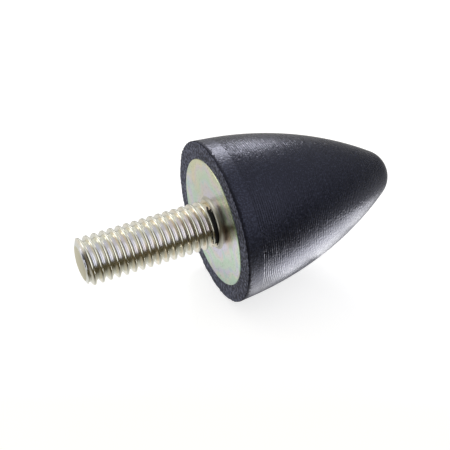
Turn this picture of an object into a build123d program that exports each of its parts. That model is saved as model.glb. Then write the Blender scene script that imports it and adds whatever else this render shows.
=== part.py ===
# Rubber buffer: a parabolic rubber body bonded to a steel disc and a threaded stud.
# Millimetres. The axis is X: the nose points to +X and the stud to -X.
# The origin is the centre of the disc's outer face, which seats on whatever the buffer is screwed to.

import os
from math import cos, hypot, radians, sin, tan

from build123d import *

# Rubber body
body_radius = 10.1  # of the drafted wall, carried down to the flat end
body_height = 24.1  # from the disc's outer face to the nose
nose_radius = 3.45  # ball nose
draft_band_length = 2.0  # straight drafted wall above the flat end
draft_angle = 5.0  # degrees, of that wall
rim_setback = 0.08  # the rubber's rim face lies this far behind the disc's outer face
rim_edge_radius = 0.12  # outer corner of the flat end, where the mould parts

# Steel disc, flush in the flat end
disc_radius = 7.95
disc_thickness = 2.0
disc_edge_radius = 0.35  # outer face's edge, rolled over by the stamping

# Stud's head and shoulder: the shoulder is pressed into the disc's hole, the head is bonded in rubber
shoulder_radius = 3.35
shoulder_height = 0.35  # stands out of the disc's face, in a cove of this radius
head_radius = 5.0
head_height = 1.3
head_edge_radius = 0.4

# Stud's shank, with the fine grooves of its M6 x 1 thread left out
thread_radius = 2.95  # over the thread's crests
stud_length = 17.0  # from the disc's outer face to the domed end
end_face_radius = 2.1  # edge of the domed end
end_dome_height = 0.3
lead_chamfer_length = 0.35  # short and steep, so that the thread is full almost from the end
relief_radius = 2.6  # unthreaded relief between the thread and the shoulder
relief_end = 0.8  # the thread stops this far from the disc's outer face


def head_outline():
    """The head's half section: flat against the disc, with a rounded back edge."""
    head_back = disc_thickness + head_height
    with BuildSketch(Plane.XY) as section:
        with BuildLine():
            Polyline(
                (disc_thickness, 0),
                (disc_thickness, head_radius),
                (head_back, head_radius),
                (head_back, 0),
                close=True,
            )
        make_face()
        back_corner = section.vertices().group_by(Axis.Y)[-1].sort_by(Axis.X)[-1]
        fillet(back_corner, head_edge_radius)
    return section.sketch


def flank_end(band_end):
    """Where the long curved flank meets the ball nose.

    The flank is one arc, tangent to the drafted band at its start and to the nose at its end, so its
    centre and radius follow from those two.
    """
    start_x, start_y = band_end
    slope = radians(draft_angle)
    nose_x = body_height - nose_radius
    along = start_x - nose_x
    reach = along * sin(slope) + start_y * cos(slope)
    flank_radius = (along**2 + start_y**2 - nose_radius**2) / (2 * (reach - nose_radius))
    centre_x = start_x - flank_radius * sin(slope)
    centre_y = start_y - flank_radius * cos(slope)
    span = hypot(nose_x - centre_x, centre_y)
    return (
        nose_x + nose_radius * (nose_x - centre_x) / span,
        nose_radius * -centre_y / span,
    )


# Rubber body: one revolve, with the pockets that the disc and the stud's head are bonded in
with BuildPart() as rubber_body:
    band_end = (
        rim_setback + draft_band_length,
        body_radius - draft_band_length * tan(radians(draft_angle)),
    )
    with BuildSketch(Plane.XY) as body_outline:
        with BuildLine():
            centre_line = Line((body_height, 0), (rim_setback, 0))
            rim = Line(centre_line @ 1, (rim_setback, body_radius))
            band = Line(rim @ 1, band_end)
            flank = TangentArc(band @ 1, flank_end(band_end), tangent=band % 1)
            TangentArc(flank @ 1, centre_line @ 0, tangent=flank % 1)
        make_face()
        rim_corner = body_outline.vertices().group_by(Axis.Y)[-1]
        fillet(rim_corner, rim_edge_radius)
    revolve(axis=Axis.X)
    with BuildSketch(Plane.YZ):
        Circle(disc_radius)
    extrude(amount=disc_thickness, mode=Mode.SUBTRACT)
    revolve(head_outline(), axis=Axis.X, mode=Mode.SUBTRACT)
rubber_body.part.label = "rubber_body"

# Steel disc: a stamped washer whose hole grips the stud's shoulder
with BuildPart() as base_plate:
    with BuildSketch(Plane.YZ):
        Circle(disc_radius)
        Circle(shoulder_radius, mode=Mode.SUBTRACT)
    extrude(amount=disc_thickness)
    outer_rim = base_plate.edges().filter_by(GeomType.CIRCLE).group_by(SortBy.RADIUS)[-1]
    fillet(outer_rim.sort_by(Axis.X)[0], disc_edge_radius)
base_plate.part.label = "base_plate"

# Threaded stud: domed and pointed end, shank, relief and coved shoulder in one profile, then the head
with BuildPart() as threaded_stud:
    with BuildSketch(Plane.XY):
        with BuildLine():
            end_centre = (-stud_length, 0)
            end_edge = (-stud_length + end_dome_height, end_face_radius)
            TangentArc(end_centre, end_edge, tangent=(0, 1))
            shank = Polyline(
                end_edge,
                (end_edge[0] + lead_chamfer_length, thread_radius),
                (-relief_end, thread_radius),
                (-relief_end, relief_radius),
                (-shoulder_height, relief_radius),
                (-shoulder_height, shoulder_radius - shoulder_height),
            )
            cove = TangentArc(shank @ 1, (0, shoulder_radius), tangent=(1, 0))
            Polyline(
                cove @ 1,
                (disc_thickness, shoulder_radius),
                (disc_thickness, 0),
                end_centre,
            )
        make_face()
    revolve(axis=Axis.X)
    revolve(head_outline(), axis=Axis.X)
threaded_stud.part.label = "threaded_stud"

os.makedirs("parts", exist_ok=True)
export_step(rubber_body.part, "parts/rubber_body.step")
export_step(base_plate.part, "parts/base_plate.step")
export_step(threaded_stud.part, "parts/threaded_stud.step")
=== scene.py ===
# Rubber buffer: a turned black rubber body on a yellow-passivated zinc disc and a rolled-thread stud.
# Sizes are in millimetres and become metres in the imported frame. The axis is X: the nose points to +X
# and the stud to -X.

from math import asin, cos, degrees, hypot, pi, radians, sin, sqrt, tan

import bmesh
import bpy
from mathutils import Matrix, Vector, noise


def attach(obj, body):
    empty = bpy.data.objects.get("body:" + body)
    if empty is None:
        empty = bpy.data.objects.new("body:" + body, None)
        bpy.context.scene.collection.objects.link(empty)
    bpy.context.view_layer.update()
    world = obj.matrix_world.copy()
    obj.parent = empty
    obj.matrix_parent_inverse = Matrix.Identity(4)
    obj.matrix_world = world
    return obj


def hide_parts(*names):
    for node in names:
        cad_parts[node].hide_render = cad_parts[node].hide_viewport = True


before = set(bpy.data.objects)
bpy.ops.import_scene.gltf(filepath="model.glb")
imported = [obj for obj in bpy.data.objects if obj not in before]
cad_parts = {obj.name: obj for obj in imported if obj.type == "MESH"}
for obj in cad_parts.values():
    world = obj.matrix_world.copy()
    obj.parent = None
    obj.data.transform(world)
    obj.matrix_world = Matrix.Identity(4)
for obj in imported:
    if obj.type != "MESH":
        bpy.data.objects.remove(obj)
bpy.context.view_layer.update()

MM = 0.001

# Rubber body
body_radius = 10.1
body_height = 24.1
nose_radius = 3.45
draft_band_length = 2.0
draft_angle = 5.0  # degrees
rim_setback = 0.08
rim_edge_radius = 0.12
body_segments = 512  # round the axis, fine enough for the torn flash at the rim

# Steel disc
disc_radius = 7.95
disc_thickness = 2.0
disc_edge_radius = 0.12  # the rubber fills most of the solid's rolled edge
disc_segments = 192

# Stud
shoulder_radius = 3.35
shoulder_height = 0.35
head_radius = 5.0
head_height = 1.3
stud_length = 17.0
end_face_radius = 2.1
end_dome_height = 0.3
lead_chamfer_length = 0.35
relief_radius = 2.6
relief_end = 0.8

# Thread
thread_radius = 2.95  # over the crests
thread_root_radius = 2.37
thread_pitch = 1.0
thread_turns = stud_length / thread_pitch + 0.5
crest_phase = -0.39  # where a crest crosses the +Y side, less whole pitches
thread_segments = 96  # in one turn, and round the stud's turned ends
thread_samples = 20  # across one pitch

# Vertices nearer to each other than this are joined
merge_distance = 0.0005


def linear(hex_colour):
    """An sRGB hex colour as the linear red, green, blue and alpha that a socket takes."""
    channels = []
    for start in (1, 3, 5):
        value = int(hex_colour[start : start + 2], 16) / 255
        if value <= 0.04045:
            channels.append(value / 12.92)
        else:
            channels.append(((value + 0.055) / 1.055) ** 2.4)
    return (*channels, 1.0)


def add(tree, kind, inputs=None, **settings):
    """Adds a node, sets its properties, and fills its inputs with values or links from other nodes."""
    made = tree.nodes.new(kind)
    for name, value in settings.items():
        setattr(made, name, value)
    for key, value in (inputs or {}).items():
        socket = made.inputs[key]
        if isinstance(value, bpy.types.NodeSocket):
            tree.links.new(value, socket)
        else:
            socket.default_value = value
    return made


def blend_stops(ramp, stops):
    """Gives a Color Ramp node its stops, as (position, colour) pairs."""
    elements = ramp.color_ramp.elements
    while len(elements) > 1:
        elements.remove(elements[-1])
    elements[0].position = stops[0][0]
    elements[0].color = linear(stops[0][1])
    for position, colour in stops[1:]:
        elements.new(position).color = linear(colour)


def new_material(name):
    """A material with an empty tree."""
    material = bpy.data.materials.new(name)
    material.use_nodes = True
    tree = material.node_tree
    tree.nodes.clear()
    return material, tree


# Shapes made by turning a half section about the axis


def arc_points(centre, radius, start, end, count):
    """Points of an arc in a half section, both ends included. Angles in degrees."""
    points = []
    for step in range(count + 1):
        angle = radians(start + (end - start) * step / count)
        points.append((centre[0] + radius * cos(angle), centre[1] + radius * sin(angle)))
    return points


def line_points(start, end, count):
    """Points of a straight run, without its first."""
    points = []
    for step in range(1, count + 1):
        part = step / count
        points.append((start[0] + (end[0] - start[0]) * part, start[1] + (end[1] - start[1]) * part))
    return points


def turned_mesh(name, section, segments):
    """Turns an open half section, given in millimetres as (x, radius), about the X axis.

    A point on the axis becomes one pole, so no ring is closed up to nothing.
    """
    mesh = bpy.data.meshes.new(name)
    build = bmesh.new()
    rings = []
    for x, radius in section:
        if radius < merge_distance:
            rings.append([build.verts.new((x * MM, 0, 0))])
            continue
        ring = []
        for step in range(segments):
            angle = 2 * pi * step / segments
            ring.append(build.verts.new((x * MM, radius * cos(angle) * MM, radius * sin(angle) * MM)))
        rings.append(ring)
    for first, second in zip(rings, rings[1:]):
        for step in range(segments):
            after = (step + 1) % segments
            corners = [first[step % len(first)], first[after % len(first)]]
            corners += [second[after % len(second)], second[step % len(second)]]
            build.faces.new(list(dict.fromkeys(corners)))
    bmesh.ops.recalc_face_normals(build, faces=build.faces)
    build.to_mesh(mesh)
    build.free()
    return mesh


def close_seams(mesh):
    """Joins the vertices that lie together and turns every face outwards."""
    build = bmesh.new()
    build.from_mesh(mesh)
    bmesh.ops.remove_doubles(build, verts=build.verts, dist=merge_distance * MM)
    bmesh.ops.recalc_face_normals(build, faces=build.faces)
    build.to_mesh(mesh)
    build.free()


def finish_piece(mesh, name, materials, sharp_angle):
    """Puts a finished mesh in the scene as a piece of the object, smooth but for its sharp edges."""
    for material in materials:
        mesh.materials.append(material)
    mesh.polygons.foreach_set("use_smooth", [True] * len(mesh.polygons))
    mesh.set_sharp_from_angle(angle=radians(sharp_angle))
    piece = bpy.data.objects.new(name, mesh)
    bpy.context.scene.collection.objects.link(piece)
    return piece


# Rubber body


def flank_arc():
    """Centre, radius and end of the long flank, tangent to the drafted band and to the ball nose."""
    start_x = rim_setback + draft_band_length
    start_y = body_radius - draft_band_length * tan(radians(draft_angle))
    slope = radians(draft_angle)
    nose_x = body_height - nose_radius
    along = start_x - nose_x
    reach = along * sin(slope) + start_y * cos(slope)
    radius = (along**2 + start_y**2 - nose_radius**2) / (2 * (reach - nose_radius))
    centre = (start_x - radius * sin(slope), start_y - radius * cos(slope))
    return centre, radius, nose_x


def body_section():
    """The rubber's half section, from the nose round to the bottom of the head's recess."""
    centre, radius, nose_x = flank_arc()
    nose_angle = 90 - degrees(asin((nose_x - centre[0]) / hypot(nose_x - centre[0], centre[1])))
    nose = arc_points((nose_x, 0), nose_radius, 0, nose_angle, count=16)
    nose[0] = (body_height, 0)
    flank = arc_points(centre, radius, nose_angle, 90 - draft_angle, count=72)
    corner_x = rim_setback + rim_edge_radius
    corner_y = body_radius - rim_edge_radius * (tan(radians(draft_angle)) + 1 / cos(radians(draft_angle)))
    corner = arc_points((corner_x, corner_y), rim_edge_radius, 90 - draft_angle, 180, count=8)
    band = line_points(flank[-1], corner[0], count=10)
    rim = line_points(corner[-1], (rim_setback, disc_radius), count=16)
    pocket = [(disc_thickness, disc_radius), (disc_thickness, head_radius)]
    recess = [(disc_thickness + head_height, head_radius), (disc_thickness + head_height, 0)]
    return nose + flank[1:] + band + corner[1:] + rim + pocket + recess


def tear_flash(mesh):
    """Leaves the flat end's outer corner ragged, where the mould parted and its flash was torn off.

    A vertex near the corner moves along the axis, by an amount that changes every half millimetre or so
    round the rim. One that moves towards the nose also moves in towards the axis, and none moves out.
    """
    corner_x, corner_radius = rim_setback, body_radius - 0.02
    reach = 0.12
    tallest = 0.13
    tooth_width, wander_width = 0.4, 1.7
    inwards = 0.7  # for each millimetre towards the nose
    for vertex in mesh.vertices:
        x = vertex.co.x / MM
        radius = hypot(vertex.co.y, vertex.co.z) / MM
        from_corner = hypot(x - corner_x, radius - corner_radius)
        if from_corner > reach:
            continue
        around = Vector((0, vertex.co.y, vertex.co.z)) / MM
        tooth = noise.noise(around / tooth_width) + 0.6 * noise.noise(around / wander_width)
        lift = tallest * tooth * sqrt(1 - from_corner / reach)
        scale = 1 + min(lift, 0.0) * inwards / radius
        vertex.co = Vector((vertex.co.x - lift * MM, vertex.co.y * scale, vertex.co.z * scale))


def rubber_flank():
    """Natural rubber, moulded and then turned: satin blue-black with fine rings round the axis.

    The rings start where the drafted band ends. The band keeps the duller skin of the mould. The scales
    of noises, here and below, are written as cells to a millimetre, over MM.
    """
    material, tree = new_material("turned_natural_rubber")
    place = add(tree, "ShaderNodeTexCoord").outputs["Object"]
    along = add(tree, "ShaderNodeSeparateXYZ", {0: place}).outputs["X"]

    # Turning marks, one for each 0.28 mm that the tool was fed
    feed = 0.28 * MM
    wave_length = 0.314  # of a wave texture at a scale of 1
    cut = add(tree, "ShaderNodeTexWave", {"Vector": place, "Scale": wave_length / feed}).outputs["Fac"]

    # They fade in and out from ring to ring and every millimetre or two round the body
    cells = (3.6 / MM, 0.5 / MM, 0.5 / MM)
    stroke = add(tree, "ShaderNodeMapping", {"Vector": place, "Scale": cells}).outputs[0]
    chatter = add(tree, "ShaderNodeTexNoise", {"Vector": stroke, "Scale": 1.0, "Detail": 2.0}).outputs[0]
    marks = add(tree, "ShaderNodeMath", {0: cut, 1: 0.55, 2: chatter}, operation="MULTIPLY_ADD").outputs[0]
    band_end = draft_band_length * MM
    turned = add(
        tree,
        "ShaderNodeMapRange",
        {"Value": along, "From Min": band_end, "From Max": band_end + 0.1 * MM, "To Min": 0.1, "To Max": 1.0},
    ).outputs[0]
    first_cut = add(
        tree,
        "ShaderNodeMapRange",
        {"Value": along, "From Min": 2.2 * MM, "From Max": 6.0 * MM, "To Min": 1.0, "To Max": 0.4},
    ).outputs[0]
    depth = add(tree, "ShaderNodeMath", {0: turned, 1: first_cut}, operation="MULTIPLY").outputs[0]
    rings = add(
        tree,
        "ShaderNodeBump",
        {"Height": marks, "Strength": depth, "Distance": 0.05 * MM},
    ).outputs[0]

    # The grain of the rubber itself, coarse enough to show as specks in the highlights
    grain = add(tree, "ShaderNodeTexNoise", {"Vector": place, "Scale": 3.8 / MM, "Detail": 2.0}).outputs[0]
    skin = add(
        tree,
        "ShaderNodeBump",
        {"Height": grain, "Strength": 1.0, "Distance": 0.05 * MM, "Normal": rings},
    ).outputs[0]

    # Carbon black with pale specks of bloom, again drawn coarse enough to show, and more of it on the band
    bloom = add(tree, "ShaderNodeTexNoise", {"Vector": place, "Scale": 5.6 / MM, "Detail": 1.0}).outputs[0]
    bloomed = add(
        tree,
        "ShaderNodeMath",
        {0: turned, 1: -0.09, 2: bloom},
        operation="MULTIPLY_ADD",
    ).outputs[0]
    specks = add(tree, "ShaderNodeValToRGB", {"Fac": bloomed})
    blend_stops(specks, [(0.31, "#0a0c16"), (0.47, "#12151f"), (0.65, "#343848")])

    # Torn rubber at the parting line is dull, and its ragged black line is partly painted shade, for the
    # shadow in the gaps of the tear
    from_line = add(
        tree,
        "ShaderNodeMath",
        {0: grain, 1: 1.1 * MM, 2: along},
        operation="MULTIPLY_ADD",
    ).outputs[0]
    torn_and_shaded = add(
        tree,
        "ShaderNodeMapRange",
        {"Value": from_line, "From Min": 1.05 * MM, "From Max": 0.95 * MM},
    ).outputs[0]
    carbon = add(
        tree,
        "ShaderNodeMix",
        {"Factor": torn_and_shaded, "A": specks.outputs[0], "B": linear("#05060a")},
        data_type="RGBA",
    ).outputs["Result"]

    # The turned skin's roughness varies over a few millimetres where it was handled, and from stroke to
    # stroke. Torn rubber and the band that was only moulded are rougher
    handled = add(tree, "ShaderNodeTexNoise", {"Vector": place, "Scale": 0.26 / MM, "Detail": 1.0}).outputs[0]
    smooth = add(
        tree,
        "ShaderNodeMapRange",
        {"Value": handled, "From Min": 0.3, "From Max": 0.7, "To Min": 0.085, "To Max": 0.125},
    ).outputs[0]
    scratched = add(tree, "ShaderNodeMath", {0: chatter, 1: grain}, operation="ADD").outputs[0]
    satin = add(
        tree,
        "ShaderNodeMath",
        {0: scratched, 1: 0.175, 2: smooth},
        operation="MULTIPLY_ADD",
    ).outputs[0]
    dulled = add(tree, "ShaderNodeMath", {0: torn_and_shaded, 1: 0.4, 2: satin}, operation="MULTIPLY_ADD").outputs[0]
    moulded = add(
        tree,
        "ShaderNodeMapRange",
        {"Value": turned, "From Min": 1.0, "From Max": 0.1, "To Max": 0.07},
    ).outputs[0]
    roughness = add(tree, "ShaderNodeMath", {0: dulled, 1: moulded}, operation="ADD").outputs[0]
    shader = add(
        tree,
        "ShaderNodeBsdfPrincipled",
        {
            "Base Color": carbon,
            "Roughness": roughness,
            "IOR": 1.52,
            "Specular Tint": linear("#d8daff"),
            "Normal": skin,
        },
    )
    add(tree, "ShaderNodeOutputMaterial", {"Surface": shader.outputs[0]})
    return material


def rubber_rim():
    """Natural rubber as it came out of the mould, on the flat end: matt, granular and a little greyer."""
    material, tree = new_material("moulded_natural_rubber")
    place = add(tree, "ShaderNodeTexCoord").outputs["Object"]
    grain = add(tree, "ShaderNodeTexNoise", {"Vector": place, "Scale": 3.0 / MM, "Detail": 4.0}).outputs[0]
    skin = add(tree, "ShaderNodeBump", {"Height": grain, "Strength": 1.0, "Distance": 0.25 * MM}).outputs[0]
    mottle = add(tree, "ShaderNodeValToRGB", {"Fac": grain})
    blend_stops(mottle, [(0.37, "#14151d"), (0.5, "#44475a"), (0.64, "#8a8ea6")])
    shader = add(
        tree,
        "ShaderNodeBsdfPrincipled",
        {
            "Base Color": mottle.outputs[0],
            "Roughness": 0.58,
            "IOR": 1.52,
            "Specular Tint": linear("#d6d8ff"),
            "Normal": skin,
        },
    )
    add(tree, "ShaderNodeOutputMaterial", {"Surface": shader.outputs[0]})
    return material


# Zinc plate, on the disc and on the stud


def from_axis(tree, place):
    """Distance of the shaded point from the X axis, in millimetres."""
    across = add(
        tree,
        "ShaderNodeVectorMath",
        {0: place, 1: (0, 1 / MM, 1 / MM)},
        operation="MULTIPLY",
    ).outputs[0]
    return add(tree, "ShaderNodeVectorMath", {0: across}, operation="LENGTH").outputs["Value"]


def plate_grain(tree, place, strength):
    """Fine satin grain of the zinc, as a normal."""
    grain = add(tree, "ShaderNodeTexNoise", {"Vector": place, "Scale": 6.0 / MM, "Detail": 2.0}).outputs[0]
    return add(
        tree,
        "ShaderNodeBump",
        {"Height": grain, "Strength": strength, "Distance": 0.01 * MM},
    ).outputs[0]


# Disc


def disc_section():
    """Half section of the stamped disc, closed, with the rolled outer edge of its seating face."""
    corner_centre = (disc_edge_radius, disc_radius - disc_edge_radius)
    corner = arc_points(corner_centre, disc_edge_radius, 180, 90, count=8)
    face = line_points((0, shoulder_radius), corner[0], count=12)
    back = [(disc_thickness, disc_radius), (disc_thickness, shoulder_radius), (0, shoulder_radius)]
    return [(0, shoulder_radius)] + face + corner[1:] + back


def zinc_disc():
    """Stamped steel under yellow-passivated zinc: satin, its thin film tinted in soft rings and clouds."""
    material, tree = new_material("yellow_zinc_on_stamped_steel")
    place = add(tree, "ShaderNodeTexCoord").outputs["Object"]

    # The film's tint follows the distance from the axis, moved in and out by clouds of 3.3 mm
    drift = add(tree, "ShaderNodeTexNoise", {"Vector": place, "Scale": 0.3 / MM, "Detail": 1.5}).outputs[0]
    wandering = add(
        tree,
        "ShaderNodeMath",
        {0: drift, 1: 5.0, 2: from_axis(tree, place)},
        operation="MULTIPLY_ADD",
    ).outputs[0]
    ring = add(tree, "ShaderNodeMapRange", {"Value": wandering, "From Min": 5.5, "From Max": 10.5}).outputs[0]
    rings = add(tree, "ShaderNodeValToRGB", {"Fac": ring})
    lilac, grey, green = "#dad5e4", "#dadfd7", "#c6dfc6"
    inner_stops = [(0.06, lilac), (0.22, "#ddd6cc"), (0.3, grey), (0.44, green), (0.6, "#d2e3d0")]
    outer_stops = [(0.74, lilac), (0.86, "#dfe2ce"), (0.96, green)]
    blend_stops(rings, inner_stops + outer_stops)

    # Teal where the film is thicker, in patches of 1.5 mm
    patches = add(
        tree,
        "ShaderNodeTexNoise",
        {"Vector": place, "Scale": 0.667 / MM, "Detail": 2.5},
    ).outputs[0]
    teal = add(
        tree,
        "ShaderNodeMapRange",
        {"Value": patches, "From Min": 0.54, "From Max": 0.66, "To Max": 0.6},
    ).outputs[0]
    cool_film = add(
        tree,
        "ShaderNodeMix",
        {"Factor": teal, "A": rings.outputs[0], "B": linear("#b6dad2")},
        data_type="RGBA",
    ).outputs["Result"]

    # Straw, moved by the clouds of the rings, towards the side that hung lowest in the bath
    side = add(
        tree,
        "ShaderNodeVectorMath",
        {0: place, 1: (0, 0.4 / MM, 0.9 / MM)},
        operation="DOT_PRODUCT",
    ).outputs["Value"]
    cloudy_side = add(
        tree,
        "ShaderNodeMath",
        {0: drift, 1: 14.0, 2: side},
        operation="MULTIPLY_ADD",
    ).outputs[0]
    ripe = add(
        tree,
        "ShaderNodeMapRange",
        {"Value": cloudy_side, "From Min": 10.0, "From Max": 15.0, "To Max": 0.5},
    ).outputs[0]
    film = add(
        tree,
        "ShaderNodeMix",
        {"Factor": ripe, "A": cool_film, "B": linear("#efd79c")},
        data_type="RGBA",
    ).outputs["Result"]

    # A brown patch beside the shoulder on the -Y side: a painted reflection of the stud's dark root in the
    # disc
    from_painted_shade = add(
        tree,
        "ShaderNodeVectorMath",
        {0: place, 1: (0, -4.3 * MM, 1.6 * MM)},
        operation="DISTANCE",
    ).outputs["Value"]
    painted_brown_shade = add(
        tree,
        "ShaderNodeMapRange",
        {"Value": from_painted_shade, "From Min": 0.8 * MM, "From Max": 2.0 * MM, "To Min": 0.8, "To Max": 0.0},
    ).outputs[0]
    shaded_film = add(
        tree,
        "ShaderNodeMix",
        {"Factor": painted_brown_shade, "A": film, "B": linear("#c9a693")},
        data_type="RGBA",
    ).outputs["Result"]

    # Dull specks the size of a pin's point
    dots = add(tree, "ShaderNodeTexNoise", {"Vector": place, "Scale": 5.0 / MM, "Detail": 2.5}).outputs[0]
    specks = add(tree, "ShaderNodeMapRange", {"Value": dots, "From Min": 0.6, "From Max": 0.72}).outputs[0]
    plate = add(
        tree,
        "ShaderNodeMix",
        {"Factor": specks, "A": shaded_film, "B": linear("#7d7c6c")},
        data_type="RGBA",
    ).outputs["Result"]
    shader = add(
        tree,
        "ShaderNodeBsdfPrincipled",
        {
            "Base Color": plate,
            "Metallic": 1.0,
            "Roughness": 0.24,
            "Normal": plate_grain(tree, place, 0.25),
        },
    )
    add(tree, "ShaderNodeOutputMaterial", {"Surface": shader.outputs[0]})
    return material


# Stud


def zinc_thread():
    """Rolled thread under yellow-passivated zinc: glossy, pale at the tip and straw towards the disc.

    The roots are painted lilac on their upper front side, a painted reflection of bluish light, and grey
    green on the rest. The domed end is matt, the shoulder half matt, and a black crescent of painted shade
    sits in the relief.
    """
    material, tree = new_material("yellow_zinc_on_rolled_thread")
    place = add(tree, "ShaderNodeTexCoord").outputs["Object"]
    along = add(tree, "ShaderNodeSeparateXYZ", {0: place}).outputs["X"]
    radius = from_axis(tree, place)

    # How ripe the film is: more towards the disc, moved by clouds of 2.2 mm
    clouds = add(tree, "ShaderNodeTexNoise", {"Vector": place, "Scale": 0.45 / MM, "Detail": 2.5}).outputs[0]
    towards_disc = add(
        tree,
        "ShaderNodeMapRange",
        {"Value": along, "From Min": -15 * MM, "From Max": -1 * MM, "To Min": -1.3, "To Max": -0.5},
    ).outputs[0]
    ripe = add(
        tree,
        "ShaderNodeMath",
        {0: clouds, 1: 2.6, 2: towards_disc},
        operation="MULTIPLY_ADD",
        use_clamp=True,
    ).outputs[0]
    flanks = add(
        tree,
        "ShaderNodeMix",
        {"Factor": ripe, "A": linear("#e8e3c8"), "B": linear("#efd5a8")},
        data_type="RGBA",
    ).outputs["Result"]
    lilac = add(
        tree,
        "ShaderNodeMix",
        {"Factor": ripe, "A": linear("#dcdff5"), "B": linear("#e6deec")},
        data_type="RGBA",
    ).outputs["Result"]

    # The roots on the upper front side are painted lilac, a painted reflection of bluish light there, and the
    # rest a pale grey green
    bluish_lit_side = add(
        tree,
        "ShaderNodeVectorMath",
        {0: place, 1: (0, -0.574 / MM, 0.819 / MM)},
        operation="DOT_PRODUCT",
    ).outputs["Value"]
    painted_lilac_light = add(
        tree,
        "ShaderNodeMapRange",
        {"Value": bluish_lit_side, "From Min": 1.85, "From Max": 2.2},
    ).outputs[0]
    roots = add(
        tree,
        "ShaderNodeMix",
        {"Factor": painted_lilac_light, "A": linear("#d3d4c4"), "B": lilac},
        data_type="RGBA",
    ).outputs["Result"]
    above_root = add(
        tree,
        "ShaderNodeMapRange",
        {"Value": radius, "From Min": 2.42, "From Max": 2.75},
    ).outputs[0]
    groove = add(
        tree,
        "ShaderNodeMix",
        {"Factor": above_root, "A": roots, "B": flanks},
        data_type="RGBA",
    ).outputs["Result"]

    # The crests are a pale grey straw, and a painted highlight runs as a bright line along the edge that
    # looks to the disc
    on_crest = add(
        tree,
        "ShaderNodeMapRange",
        {"Value": radius, "From Min": 2.84, "From Max": 2.91},
    ).outputs[0]
    ridge = add(
        tree,
        "ShaderNodeMix",
        {"Factor": on_crest, "A": groove, "B": linear("#e8e6cf")},
        data_type="RGBA",
    ).outputs["Result"]
    edge_highlight = add(tree, "ShaderNodeAttribute", attribute_name="painted_highlight_edge").outputs["Fac"]
    film = add(
        tree,
        "ShaderNodeMix",
        {"Factor": edge_highlight, "A": ridge, "B": linear("#fbfaf4")},
        data_type="RGBA",
    ).outputs["Result"]

    # Painted shade: a black crescent with a ragged edge on one side of the relief, for the shadow in the gap
    # under the last turn
    side = add(
        tree,
        "ShaderNodeVectorMath",
        {0: place, 1: (0, -0.927 / MM, 0.375 / MM)},
        operation="DOT_PRODUCT",
    ).outputs["Value"]
    fringe = add(tree, "ShaderNodeTexNoise", {"Vector": place, "Scale": 4.0 / MM, "Detail": 2.0}).outputs[0]
    ragged_side = add(
        tree,
        "ShaderNodeMath",
        {0: fringe, 1: 2.2, 2: side},
        operation="MULTIPLY_ADD",
    ).outputs[0]
    from_middle = add(tree, "ShaderNodeMath", {0: along, 1: -0.6 * MM}, operation="SUBTRACT").outputs[0]
    aside = add(tree, "ShaderNodeMath", {0: from_middle}, operation="ABSOLUTE").outputs[0]
    crescent = add(
        tree,
        "ShaderNodeMath",
        {0: aside, 1: -3.2 / MM, 2: ragged_side},
        operation="MULTIPLY_ADD",
    ).outputs[0]

    # Domed end, shoulder and painted shade in the relief, told apart by where they lie along and off the axis
    limits = {
        "end": (along, -16.67 * MM, -16.71 * MM),
        "shoulder": (along, -0.4 * MM, -0.3 * MM),
        "below_crest": (radius, 2.92, 2.8),
        "crescent": (crescent, 1.7, 1.95),
    }
    within = {}
    for name, (value, outside, inside) in limits.items():
        within[name] = add(
            tree,
            "ShaderNodeMapRange",
            {"Value": value, "From Min": outside, "From Max": inside},
        ).outputs[0]
    painted_shade = add(
        tree,
        "ShaderNodeMath",
        {0: within["crescent"], 1: within["below_crest"]},
        operation="MULTIPLY",
    ).outputs[0]
    plate = film
    for where, colour in ((within["end"], "#ebe6ce"), (within["shoulder"], "#c9c6b8"), (painted_shade, "#0d0c0a")):
        plate = add(
            tree,
            "ShaderNodeMix",
            {"Factor": where, "A": plate, "B": linear(colour)},
            data_type="RGBA",
        ).outputs["Result"]
    metal = add(tree, "ShaderNodeMath", {0: 1.0, 1: painted_shade}, operation="SUBTRACT").outputs[0]
    end_or_painted_shade = add(tree, "ShaderNodeMath", {0: within["end"], 1: painted_shade}, operation="MAXIMUM").outputs[0]
    matt = add(
        tree,
        "ShaderNodeMath",
        {0: within["shoulder"], 1: 0.5, 2: end_or_painted_shade},
        operation="MULTIPLY_ADD",
        use_clamp=True,
    ).outputs[0]
    roughness = add(tree, "ShaderNodeMapRange", {"Value": matt, "To Min": 0.19, "To Max": 0.55}).outputs[0]
    shader = add(
        tree,
        "ShaderNodeBsdfPrincipled",
        {
            "Base Color": plate,
            "Metallic": metal,
            "Roughness": roughness,
            "Normal": plate_grain(tree, place, 0.04),
        },
    )
    add(tree, "ShaderNodeOutputMaterial", {"Surface": shader.outputs[0]})
    return material


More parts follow.
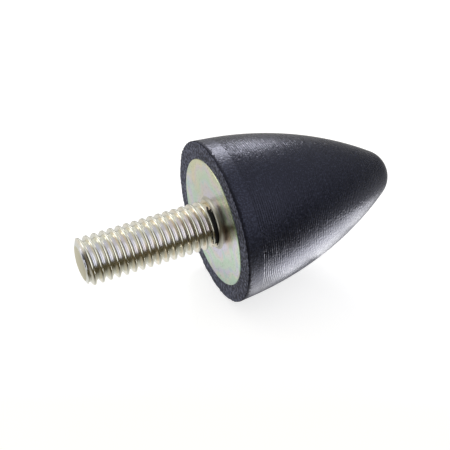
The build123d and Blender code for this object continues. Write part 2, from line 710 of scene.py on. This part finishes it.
def thread_tree(material):
    """Geometry nodes that wind one pitch of the thread's form round the shank as a helix.

    A flat grid has the turns along X and one pitch across Y. It is wound round the axis, cut back to the
    point at one end and run out into the relief at the other, then joined to the turned ends.
    """
    tree = bpy.data.node_groups.new("wound_thread", "GeometryNodeTree")
    sizes = {
        "Pitch": thread_pitch,
        "Turns": thread_turns,
        "Crest Radius": thread_radius,
        "Root Radius": thread_root_radius,
        "Crest Width": 0.21,
        "Crest Rounding": 0.15,
        "Edge Rounding": 0.09,
        "Root Rounding": 0.3,
        "First Turn": crest_phase - thread_turns * thread_pitch,
        "Point": -stud_length + end_dome_height,
        "Point Radius": end_face_radius,
        "Point Slope": (thread_radius - end_face_radius) / lead_chamfer_length,
        "Run-out": -relief_end,
        "Run-out Slope": -1.5,
        "Last Turn Slope": 5.0,
        "Highlight Edge": 0.05,
        "Highlight Fading": -10.0,
        "Relief Radius": relief_radius,
    }
    counts = {"Segments per Turn": thread_segments, "Samples per Pitch": thread_samples}
    tree.interface.new_socket("Geometry", in_out="INPUT", socket_type="NodeSocketGeometry")
    tree.interface.new_socket("Geometry", in_out="OUTPUT", socket_type="NodeSocketGeometry")
    for name in sizes:
        tree.interface.new_socket(name, in_out="INPUT", socket_type="NodeSocketFloat")
    for name in counts:
        tree.interface.new_socket(name, in_out="INPUT", socket_type="NodeSocketInt")
    given = add(tree, "NodeGroupInput").outputs
    place = add(tree, "GeometryNodeInputPosition").outputs[0]
    flat = add(tree, "ShaderNodeSeparateXYZ", {0: place}).outputs

    # The crest's edge that looks to the disc is the sharper one
    rounding = add(
        tree,
        "ShaderNodeMapRange",
        {
            "Value": flat["Y"],
            "From Min": -0.1,
            "From Max": 0.08,
            "To Min": given["Crest Rounding"],
            "To Max": given["Edge Rounding"],
        },
    ).outputs[0]

    # Each step makes one value: its name, its operation and what goes in, by name or as a number
    steps = (
        ("columns", "MULTIPLY_ADD", "Turns", "Segments per Turn", 1.0),
        ("rows", "ADD", "Samples per Pitch", 1.0),
        # Place along the axis, kept between the point and the run-out
        ("part of turns", "ADD", "flat x", 0.5),
        ("turn", "MULTIPLY", "part of turns", "Turns"),
        ("part of pitch", "ADD", "flat y", 0.5),
        ("pitches", "ADD", "turn", "part of pitch"),
        ("whole helix", "MULTIPLY_ADD", "pitches", "Pitch", "First Turn"),
        ("before run-out", "MINIMUM", "whole helix", "Run-out"),
        ("along", "MAXIMUM", "Point", "before run-out"),
        # Sixty-degree form: a sharp ridge, rounded off at the crest and at the root
        ("off middle", "ABSOLUTE", "flat y"),
        ("from crest", "MULTIPLY", "off middle", "Pitch"),
        ("sharp crest", "MULTIPLY_ADD", "Crest Width", 0.5 * sqrt(3), "Crest Radius"),
        ("ridge", "MULTIPLY_ADD", "from crest", -sqrt(3), "sharp crest"),
        ("rolled crest", "SMOOTH_MIN", "ridge", "Crest Radius", "rounding"),
        ("form", "SMOOTH_MAX", "rolled crest", "Root Radius", "Root Rounding"),
        # The root rises into the relief, and both ends are bevelled
        ("to relief", "SUBTRACT", "Run-out", "along"),
        ("rising root", "MULTIPLY_ADD", "to relief", "Run-out Slope", "Relief Radius"),
        ("last bevel", "MULTIPLY_ADD", "to relief", "Last Turn Slope", "Relief Radius"),
        ("from point", "SUBTRACT", "along", "Point"),
        ("point bevel", "MULTIPLY_ADD", "from point", "Point Slope", "Point Radius"),
        ("risen form", "MAXIMUM", "form", "rising root"),
        ("run out", "MINIMUM", "risen form", "last bevel"),
        ("radius", "MINIMUM", "run out", "point bevel"),
        # Wound round the axis
        ("angle", "MULTIPLY", "turn", 2 * pi),
        ("cosine", "COSINE", "angle"),
        ("sine", "SINE", "angle"),
        ("y", "MULTIPLY", "radius", "cosine"),
        ("z", "MULTIPLY", "radius", "sine"),
        # The edge of each crest that looks to the disc, where the material paints a bright highlight
        ("beside edge", "SUBTRACT", "flat y", "Highlight Edge"),
        ("off edge", "ABSOLUTE", "beside edge"),
        ("near edge", "MULTIPLY_ADD", "off edge", "Highlight Fading", 1.0),
        ("edge_highlight", "MAXIMUM", "near edge", 0.0),
    )
    made = {"flat x": flat["X"], "flat y": flat["Y"], "rounding": rounding}
    for name in (*sizes, *counts):
        made[name] = given[name]
    for name, operation, *terms in steps:
        inputs = {index: made.get(term, term) for index, term in enumerate(terms)}
        made[name] = add(tree, "ShaderNodeMath", inputs, operation=operation).outputs[0]

    grid = add(
        tree,
        "GeometryNodeMeshGrid",
        {"Size X": 1.0, "Size Y": 1.0, "Vertices X": made["columns"], "Vertices Y": made["rows"]},
    ).outputs["Mesh"]
    wound = add(tree, "ShaderNodeCombineXYZ", {"X": made["along"], "Y": made["y"], "Z": made["z"]}).outputs[0]
    in_metres = add(tree, "ShaderNodeVectorMath", {0: wound, "Scale": MM}, operation="SCALE").outputs[0]
    helix = add(tree, "GeometryNodeSetPosition", {"Geometry": grid, "Position": in_metres}).outputs[0]
    marked = add(
        tree,
        "GeometryNodeStoreNamedAttribute",
        {"Geometry": helix, "Name": "painted_highlight_edge", "Value": made["edge_highlight"]},
        data_type="FLOAT",
        domain="POINT",
    ).outputs[0]
    joined = add(tree, "GeometryNodeJoinGeometry")
    tree.links.new(marked, joined.inputs[0])
    tree.links.new(given["Geometry"], joined.inputs[0])
    whole = add(
        tree,
        "GeometryNodeMergeByDistance",
        {"Geometry": joined.outputs[0], "Distance": merge_distance * MM},
    )
    real = add(tree, "GeometryNodeRealizeInstances", {"Geometry": whole.outputs[0]})
    plated = add(tree, "GeometryNodeSetMaterial", {"Geometry": real.outputs[0], "Material": material})
    add(tree, "NodeGroupOutput", {0: plated.outputs[0]})
    return tree, {**sizes, **counts}


def stud_ends():
    """The stud's turned ends in one mesh: the domed end, and the relief, shoulder and bonded head."""
    dome_radius = (end_face_radius**2 + end_dome_height**2) / (2 * end_dome_height)
    dome_angle = degrees(asin(end_face_radius / dome_radius))
    dome_centre = (-stud_length + dome_radius, 0)
    dome = arc_points(dome_centre, dome_radius, 180, 180 - dome_angle, count=10)
    dome[0] = (-stud_length, 0)
    head_back = disc_thickness + head_height
    relief = [(-relief_end, relief_radius), (-shoulder_height, relief_radius)]
    cove = arc_points((-shoulder_height, shoulder_radius), shoulder_height, -90, 0, count=8)
    head = [
        (disc_thickness, shoulder_radius),
        (disc_thickness, head_radius),
        (head_back, head_radius),
        (head_back, 0),
    ]
    mesh = bpy.data.meshes.new("stud_ends")
    build = bmesh.new()
    build.from_mesh(turned_mesh("stud_point", dome, thread_segments))
    build.from_mesh(turned_mesh("stud_root", relief + cove + head, thread_segments))
    build.to_mesh(mesh)
    build.free()
    return mesh


def threaded_stud(material):
    """The stud as one plain mesh: its turned ends with the thread wound between them."""
    blank = bpy.data.objects.new("stud_blank", stud_ends())
    bpy.context.scene.collection.objects.link(blank)
    tree, sizes = thread_tree(material)
    winding = blank.modifiers.new("thread", "NODES")
    winding.node_group = tree
    for socket in tree.interface.items_tree:
        if socket.in_out == "INPUT" and socket.name in sizes:
            winding[socket.identifier] = sizes[socket.name]
    shape = blank.evaluated_get(bpy.context.evaluated_depsgraph_get())
    mesh = bpy.data.meshes.new_from_object(shape)
    bpy.data.objects.remove(blank)
    close_seams(mesh)
    mesh.materials.clear()
    return finish_piece(mesh, "rolled_thread_stud", [material], sharp_angle=50)


# Object

turned_rubber = rubber_flank()
moulded_rubber = rubber_rim()
body_mesh = turned_mesh("turned_rubber_body", body_section(), body_segments)
tear_flash(body_mesh)
body = finish_piece(body_mesh, "turned_rubber_body", [turned_rubber, moulded_rubber], sharp_angle=40)

# The rim's face, and the pocket behind it apart from its outer wall, keep the mould's finish
rim_face = rim_setback + 0.02
pocket_back = disc_thickness + head_height + merge_distance
inside_wall = disc_radius * 0.999
for face in body_mesh.polygons:
    face_x = face.center.x / MM
    face_radius = hypot(face.center.y, face.center.z) / MM
    if face_x < rim_face or face_x < pocket_back and face_radius < inside_wall:
        face.material_index = 1
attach(body, "root")
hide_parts("rubber_body")

disc_mesh = turned_mesh("stamped_disc", disc_section(), disc_segments)
close_seams(disc_mesh)
disc = finish_piece(disc_mesh, "stamped_disc", [zinc_disc()], sharp_angle=40)
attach(disc, "root")
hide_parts("base_plate")

stud = threaded_stud(zinc_thread())
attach(stud, "root")
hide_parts("threaded_stud")

# Floor


def white_paper():
    """The sheet of paper that the object lies on.

    Under the object and behind it the paper is pale. Two centimetres in front it is painted a dark warm grey,
    painted shade for the light falling off away from the object, which gives the zinc something dark to
    reflect. The camera sees all of it glow, and a mirror the pale part.
    """
    material, tree = new_material("white_paper_sheet")
    place = add(tree, "ShaderNodeTexCoord").outputs["Object"]
    front = add(
        tree,
        "ShaderNodeVectorMath",
        {0: place, 1: (-0.45, -0.9, 0.0)},
        operation="DOT_PRODUCT",
    ).outputs["Value"]
    near_front = add(
        tree,
        "ShaderNodeMapRange",
        {"Value": front, "From Min": 4 * MM, "From Max": 20 * MM, "To Min": 1.0, "To Max": 0.0},
    ).outputs[0]
    back = add(
        tree,
        "ShaderNodeVectorMath",
        {0: place, 1: (0.6, 0.8, 0.0)},
        operation="DOT_PRODUCT",
    ).outputs["Value"]
    near_back = add(
        tree,
        "ShaderNodeMapRange",
        {"Value": back, "From Min": 15 * MM, "From Max": 30 * MM, "To Min": 1.0, "To Max": 0.6},
    ).outputs[0]
    near = add(tree, "ShaderNodeMath", {0: near_front, 1: near_back}, operation="MULTIPLY").outputs[0]
    # The paper's colour darkens away from the object: painted shade for the light falling off
    falloff_shade_tone = add(
        tree,
        "ShaderNodeMix",
        {"Factor": near, "A": linear("#5e553d"), "B": linear("#cfcfcf")},
        data_type="RGBA",
    ).outputs["Result"]
    paper = add(tree, "ShaderNodeBsdfDiffuse", {"Color": falloff_shade_tone})

    # What a mirror sees glows most under the stud, and less under the body and behind the object
    sides = add(tree, "ShaderNodeSeparateXYZ", {0: place}).outputs
    under_stud = add(
        tree,
        "ShaderNodeMapRange",
        {"Value": sides["X"], "From Min": 9 * MM, "From Max": -3 * MM, "To Min": 0.1, "To Max": 0.42},
    ).outputs[0]
    in_front = add(
        tree,
        "ShaderNodeMapRange",
        {"Value": sides["Y"], "From Min": 3 * MM, "From Max": 15 * MM, "To Min": 1.0, "To Max": 0.45},
    ).outputs[0]
    near_object = add(tree, "ShaderNodeMath", {0: near, 1: in_front}, operation="MULTIPLY").outputs[0]
    for_mirrors = add(
        tree,
        "ShaderNodeMath",
        {0: near_object, 1: under_stud},
        operation="MULTIPLY",
    ).outputs[0]
    rays = add(tree, "ShaderNodeLightPath").outputs
    mirrored = add(
        tree,
        "ShaderNodeMath",
        {0: rays["Is Glossy Ray"], 1: rays["Is Transmission Ray"]},
        operation="MAXIMUM",
    ).outputs[0]

    # What the camera sees glows less where the paper is pale, so that the object's soft shadow stays
    for_camera = add(tree, "ShaderNodeMapRange", {"Value": near, "To Min": 0.95, "To Max": 0.7}).outputs[0]
    seen_glow = add(
        tree,
        "ShaderNodeMath",
        {0: rays["Is Camera Ray"], 1: for_camera},
        operation="MULTIPLY",
    ).outputs[0]
    white_glow = add(
        tree,
        "ShaderNodeMath",
        {0: mirrored, 1: for_mirrors, 2: seen_glow},
        operation="MULTIPLY_ADD",
    ).outputs[0]
    glow = add(tree, "ShaderNodeEmission", {"Color": linear("#ffffff"), "Strength": white_glow})
    lit = add(tree, "ShaderNodeAddShader", {0: paper.outputs[0], 1: glow.outputs[0]})
    add(tree, "ShaderNodeOutputMaterial", {"Surface": lit.outputs[0]})
    return material


floor_level = -(body_radius - rim_edge_radius * tan(radians(draft_angle))) * MM
half_width = 1.5
corners = []
for x, y in ((-1, -1), (1, -1), (1, 1), (-1, 1)):
    corners.append((x * half_width, y * half_width, floor_level))
floor_mesh = bpy.data.meshes.new("floor")
floor_mesh.from_pydata(corners, [], [(0, 1, 2, 3)])
floor_mesh.materials.append(white_paper())
floor = bpy.data.objects.new("floor", floor_mesh)
bpy.context.scene.collection.objects.link(floor)

# World: a dim room that is white to the camera

world = bpy.data.worlds.new("studio")
bpy.context.scene.world = world
world.use_nodes = True
world_tree = world.node_tree
world_tree.nodes.clear()
direction = add(world_tree, "ShaderNodeTexCoord").outputs["Generated"]
height = add(world_tree, "ShaderNodeSeparateXYZ", {0: direction}).outputs["Z"]
walls = add(
    world_tree,
    "ShaderNodeMapRange",
    {"Value": height, "From Min": 0.0, "From Max": 0.65, "To Min": 0.12, "To Max": 0.65},
    interpolation_type="SMOOTHSTEP",
).outputs[0]

# Brighter patches: the direction of each, how near to it the patch starts and is full, and its strength
for towards, starts, full, brightness in (
    ((0.15, -0.62, 0.77), 0.68, 0.94, 1.1),  # skylight
    ((-0.45, 0.87, 0.2), 0.45, 0.85, 0.85),  # white backdrop behind the stud
    ((0.0, -0.86, 0.51), 0.83, 0.95, 1.4),  # window in front
):
    nearness = add(
        world_tree,
        "ShaderNodeVectorMath",
        {0: direction, 1: towards},
        operation="DOT_PRODUCT",
    ).outputs["Value"]
    patch = add(
        world_tree,
        "ShaderNodeMapRange",
        {"Value": nearness, "From Min": starts, "From Max": full, "To Max": brightness},
        interpolation_type="SMOOTHSTEP",
    ).outputs[0]
    walls = add(world_tree, "ShaderNodeMath", {0: walls, 1: patch}, operation="MAXIMUM").outputs[0]

# The corner that the stud points to is left dark
towards_corner = add(
    world_tree,
    "ShaderNodeVectorMath",
    {0: direction, 1: (-0.8, -0.5, 0.33)},
    operation="DOT_PRODUCT",
).outputs["Value"]
unlit = add(
    world_tree,
    "ShaderNodeMapRange",
    {"Value": towards_corner, "From Min": 0.55, "From Max": 0.83, "To Min": 1.0, "To Max": 0.2},
    interpolation_type="SMOOTHSTEP",
).outputs[0]
strength = add(world_tree, "ShaderNodeMath", {0: walls, 1: unlit}, operation="MULTIPLY").outputs[0]
room = add(world_tree, "ShaderNodeBackground", {"Color": linear("#ffffff"), "Strength": strength})
white = add(world_tree, "ShaderNodeBackground", {"Color": linear("#ffffff"), "Strength": 1.0})
seen = add(world_tree, "ShaderNodeLightPath").outputs["Is Camera Ray"]
around = add(world_tree, "ShaderNodeMixShader", {0: seen, 1: room.outputs[0], 2: white.outputs[0]})
add(world_tree, "ShaderNodeOutputWorld", {"Surface": around.outputs[0]})

# Lamps


def softbox(name, towards, distance, width, height, radiance):
    """A rectangular lamp in a direction from the object, given as azimuth and elevation in degrees.

    Azimuth 0 is along the nose and 90 along +Y. Its power follows from its size and the radiance.
    """
    azimuth, elevation = radians(towards[0]), radians(towards[1])
    direction = Vector((cos(azimuth) * cos(elevation), sin(azimuth) * cos(elevation), sin(elevation)))
    lamp = bpy.data.lights.new(name, "AREA")
    lamp.shape = "RECTANGLE"
    lamp.size = width
    lamp.size_y = height
    lamp.energy = radiance * width * height * pi
    holder = bpy.data.objects.new(name, lamp)
    holder.location = direction * distance
    holder.rotation_mode = "QUATERNION"
    holder.rotation_quaternion = direction.to_track_quat("Z", "Y")
    holder.visible_camera = False
    bpy.context.scene.collection.objects.link(holder)
    return holder


back_place = {"towards": (63, 28.5), "distance": 0.25, "width": 0.075, "height": 0.066}
back_lamp = softbox("back_softbox", radiance=17.0, **back_place)
scrimmed_lamp = softbox("scrimmed_softbox", radiance=2.2, **back_place)
softbox("tall_side_softbox", (142, 28), 0.3, 0.085, 0.32, 0.9)

# A scrim dims the back softbox on the stud, whose plating would flash white in it
stud_only = bpy.data.collections.new("stud_under_scrim")
stud_only.objects.link(stud)
scrimmed_lamp.light_linking.receiver_collection = stud_only
all_but_stud = bpy.data.collections.new("stud_left_out")
all_but_stud.objects.link(stud)
back_lamp.light_linking.receiver_collection = all_but_stud
all_but_stud.collection_objects[0].light_linking.link_state = "EXCLUDE"

# Panels that lie on the floor and face up, for the light that white paper throws back
panel_height = floor_level + 0.05 * MM
for panel_name, middle, panel_size, radiance in (
    ("base_low_panel", (5.5, -12.5), (5, 9), 2.4),
    ("low_panel", (15.5, -13), (15, 9.5), 5.4),
    ("inner_low_panel", (19, -6.6), (9, 3.2), 3.5),
    ("far_low_panel", (28, -10), (10, 14), 3.9),
):
    panel = softbox(panel_name, (0, -90), -panel_height, panel_size[0] * MM, panel_size[1] * MM, radiance)
    panel.location = (middle[0] * MM, middle[1] * MM, panel_height)

# Camera at the photograph's place, which is given by where it sees the object's origin, in millimetres

camera_azimuth = radians(-24.84)
camera_elevation = radians(42.35)
origin_right = -1.5766
origin_up = 0.2986
origin_ahead = 120.277
level = Vector((-sin(camera_azimuth), cos(camera_azimuth), 0))
right = Vector((cos(camera_azimuth), sin(camera_azimuth), 0))
up = level * sin(camera_elevation) + Vector((0, 0, cos(camera_elevation)))
forward = level * cos(camera_elevation) - Vector((0, 0, sin(camera_elevation)))
lens = bpy.data.cameras.new("camera")
lens.sensor_width = 36.0
lens.lens = 79.78
lens.clip_start = 0.01
lens.clip_end = 20.0
camera = bpy.data.objects.new("camera", lens)
camera.location = -(origin_right * right + origin_up * up + origin_ahead * forward) * MM
camera.rotation_euler = (pi / 2 - camera_elevation, 0, camera_azimuth)
bpy.context.scene.collection.objects.link(camera)
bpy.context.scene.camera = camera
bpy.context.scene.view_settings.view_transform = "Standard"
